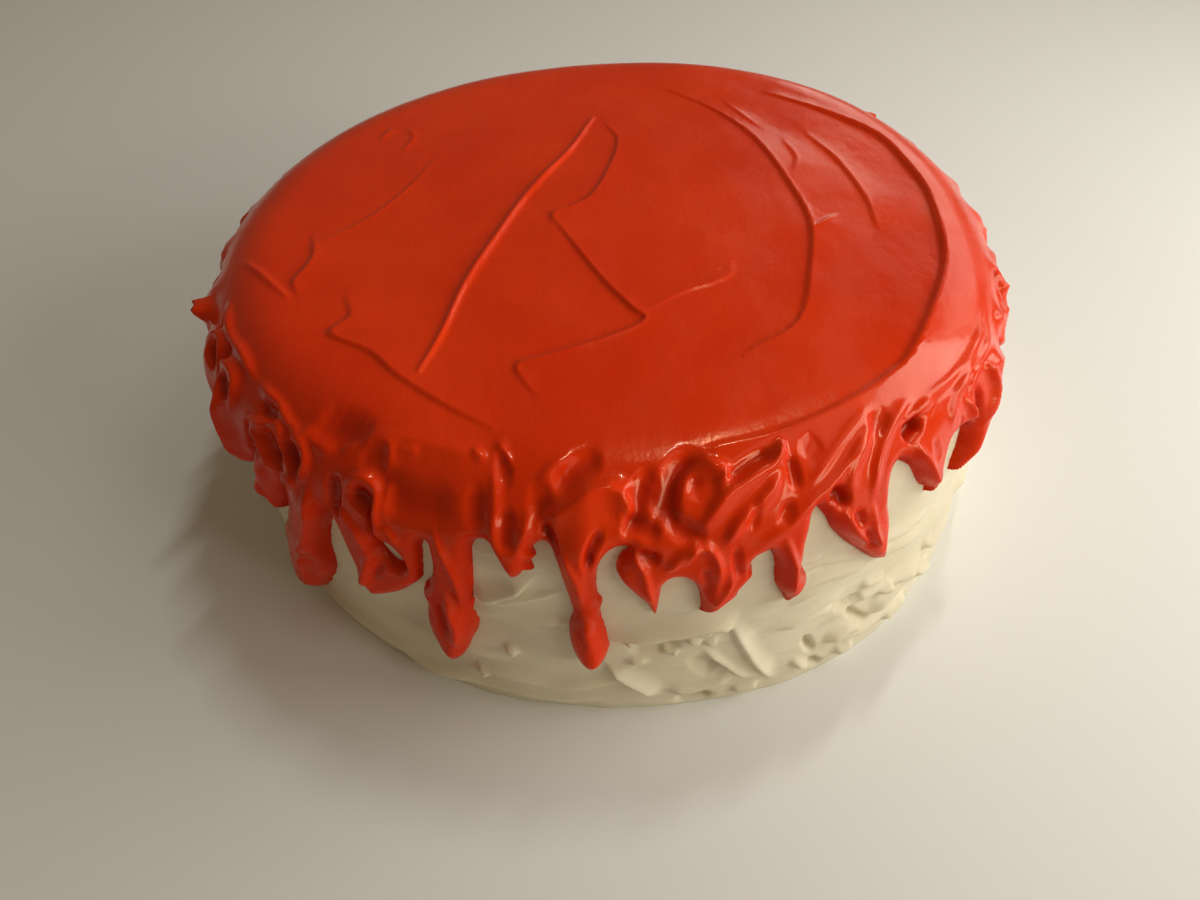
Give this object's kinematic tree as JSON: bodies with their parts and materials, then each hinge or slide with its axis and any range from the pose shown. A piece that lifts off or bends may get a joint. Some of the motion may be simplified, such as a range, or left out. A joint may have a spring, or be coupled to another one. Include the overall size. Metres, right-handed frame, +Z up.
{
  "type": "red velvet cake",
  "caption": "Whole round frosted cake, capped with smooth red icing that folds over the shoulder and runs down the cream side in drips",
  "frame": {"origin": "on the table plane, under the middle of the cake's bounding box", "axes": "+Z up, the cake's height; -Y towards the viewer of the picture; +X to the viewer's right"},
  "size_m": [0.2477, 0.2485, 0.0859],
  "materials": {
    "cream_frosting": "soft satin cream frosting with spatula marks",
    "red_icing": "glossy wet red icing, spread smooth on top and folded at the edge"
  },
  "bodies": {
    "root": {"frosted_cake": "cream_frosting", "red_icing": "red_icing"}
  },
  "joints": []
}
